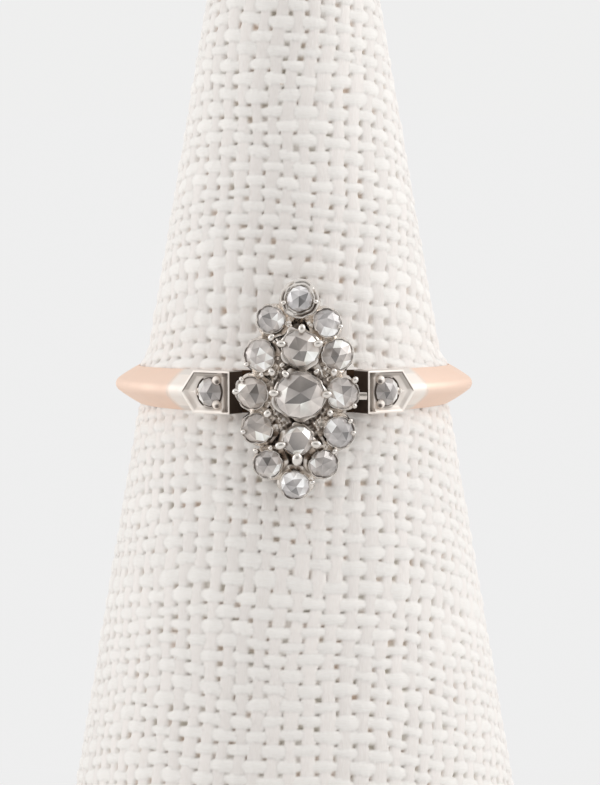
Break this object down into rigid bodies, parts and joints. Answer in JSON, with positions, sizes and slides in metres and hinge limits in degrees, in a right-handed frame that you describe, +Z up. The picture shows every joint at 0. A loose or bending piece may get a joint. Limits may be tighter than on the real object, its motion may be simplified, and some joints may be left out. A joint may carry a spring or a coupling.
{
  "type": "diamond ring on display cone",
  "caption": "Marquise-shaped cluster ring of rose-cut diamonds in white metal on a knife-edge rose gold shank, held on a plain linen-covered display cone.",
  "frame": {"origin": "centre of the cone's flat foot, on the surface that it stands on", "axes": "+Z up the cone, the cluster of stones facing -Y, +X to the right seen from the front"},
  "size_m": [0.032, 0.032, 0.0744],
  "materials": {
    "core_wood": "plain",
    "linen": "coarse plain weave",
    "rose_gold": "polished",
    "white_metal": "polished, worn",
    "diamond": "cut and polished"
  },
  "bodies": {
    "root": {"cone_core": "core_wood", "linen_cover": "linen", "shank": "rose_gold", "shoulder_left": "white_metal", "shoulder_right": "white_metal", "head": "white_metal", "stone_centre": "diamond", "stone_inner_top": "diamond", "stone_inner_bottom": "diamond", "stone_1": "diamond", "stone_2": "diamond", "stone_3": "diamond", "stone_4": "diamond", "stone_5": "diamond", "stone_6": "diamond", "stone_7": "diamond", "stone_8": "diamond", "stone_9": "diamond", "stone_10": "diamond", "stone_11": "diamond", "stone_12": "diamond", "shoulder_stone_left": "diamond", "shoulder_stone_right": "diamond"}
  },
  "joints": []
}
